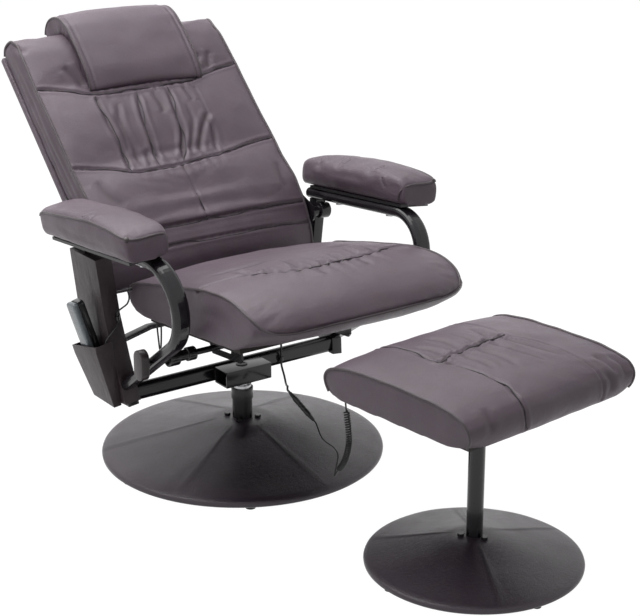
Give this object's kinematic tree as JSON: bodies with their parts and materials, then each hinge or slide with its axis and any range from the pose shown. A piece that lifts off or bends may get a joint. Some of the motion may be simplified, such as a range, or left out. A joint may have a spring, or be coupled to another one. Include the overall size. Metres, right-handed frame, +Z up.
{
  "type": "recliner chair with footstool",
  "caption": "Swivel recliner in brown-grey leather with black bent-tube arms, round wrapped base, headrest pillow and a padded footstool on its own round base, joined by a curly lead.",
  "frame": {"origin": "floor level under the middle of the whole set, chair and footstool together", "axes": "+X to the right when looking at the chair from the front of the footstool, -Y from the chair towards the footstool, +Z up"},
  "size_m": [0.731, 1.4182, 0.857],
  "materials": {
    "leather": "satin",
    "wrapped_leather": "satin",
    "side_leather": "satin",
    "black_metal": "gloss",
    "plate_metal": "matte",
    "steel": "satin",
    "board_wood": "matte",
    "black_plastic": "matte",
    "brown_plastic": "gloss",
    "silver_plastic": "satin",
    "handset_black": "gloss",
    "button_plastic": "matte",
    "rubber": "matte"
  },
  "bodies": {
    "base": {"base_cover": "wrapped_leather", "base_plate": "plate_metal", "base_glides": "rubber", "column_tube": "black_metal", "column_bolts": "black_metal", "swivel_bush": "black_plastic"},
    "upper_frame": {"swivel_stem": "steel", "bracket_box": "black_metal", "cross_tube": "black_metal", "left_arm_tube": "black_metal", "right_arm_tube": "black_metal", "uprights": "black_metal", "upright_sleeves": "side_leather", "rear_brace": "black_metal", "handset_pocket": "side_leather", "arm_boards": "black_plastic", "left_arm_pad": "leather", "right_arm_pad": "leather", "arm_bolts": "steel", "pivot_pins": "black_metal", "lock_rod": "black_metal", "lock_collars": "black_metal", "lead_clips": "steel", "lead_plugs": "black_plastic", "chair_lead": "rubber", "joint_socket": "black_plastic", "handset_lead": "rubber"},
    "lock_knob": {"lock_handle": "brown_plastic"},
    "backrest": {"back_cushion": "leather", "headrest_pillow": "leather", "back_panel": "side_leather", "pivot_brackets": "black_metal", "hinge_lugs": "black_metal", "hinge_rod": "steel"},
    "seat": {"seat_cushion": "leather", "seat_board": "board_wood", "seat_rails": "black_metal", "control_box": "black_plastic", "seat_grommets": "black_plastic", "seat_loop_lead": "rubber"},
    "handset": {"handset_back": "silver_plastic", "handset_front": "handset_black"},
    "power_key": {"power_button": "button_plastic"},
    "mode_key": {"mode_button": "button_plastic"},
    "zone_key": {"zone_button": "button_plastic"},
    "timer_key": {"timer_button": "button_plastic"},
    "footstool": {"stool_cover": "wrapped_leather", "stool_plate": "plate_metal", "stool_glides": "rubber", "stool_pole": "black_metal", "stool_bolts": "black_metal", "stool_board": "board_wood", "stool_cushion": "leather", "stool_motor": "black_plastic", "stool_gland": "black_plastic", "joint_plug": "black_plastic", "stool_lead_lower": "rubber", "curly_cord": "rubber", "stool_lead_upper": "rubber"}
  },
  "joints": [
    {"name": "swivel", "type": "hinge", "parent": "base", "child": "upper_frame", "pos_m": [0, 0.15408, 0.144], "axis": [0, 0, 1], "continuous": true},
    {"name": "recline", "type": "hinge", "parent": "upper_frame", "child": "backrest", "pos_m": [0, 0.26408, 0.448], "axis": [1, 0, 0], "range_deg": [-3, 22]},
    {"name": "seat_slide", "type": "slide", "parent": "upper_frame", "child": "seat", "axis": [0, 0.9959, -0.0906], "range_m": [-0.0056, 0.041]},
    {"name": "lock_turn", "type": "hinge", "parent": "upper_frame", "child": "lock_knob", "pos_m": [-0.296, 0.03708, 0.294], "axis": [1, 0, 0], "range_deg": [0, 180]},
    {"name": "handset_lift", "type": "slide", "parent": "upper_frame", "child": "handset", "axis": [-0.2493, 0.1378, 0.9586], "range_m": [0, 0.08]},
    {"name": "power_press", "type": "slide", "parent": "handset", "child": "power_key", "axis": [-0.9683, -0.0194, -0.249], "range_m": [0, 0.0008], "stiffness_N_per_m": 600},
    {"name": "mode_press", "type": "slide", "parent": "handset", "child": "mode_key", "axis": [-0.9683, -0.0194, -0.249], "range_m": [0, 0.0008], "stiffness_N_per_m": 600},
    {"name": "zone_press", "type": "slide", "parent": "handset", "child": "zone_key", "axis": [-0.9683, -0.0194, -0.249], "range_m": [0, 0.0008], "stiffness_N_per_m": 600},
    {"name": "timer_press", "type": "slide", "parent": "handset", "child": "timer_key", "axis": [-0.9683, -0.0194, -0.249], "range_m": [0, 0.0008], "stiffness_N_per_m": 600},
    {"name": "stool_slide", "type": "slide", "parent": "base", "child": "footstool", "axis": [0, -1, 0], "range_m": [0, 0.3]}
  ],
  "couplings": [
    {"joint": "seat_slide", "follows": "recline", "m_per_rad": 0.10678}
  ]
}
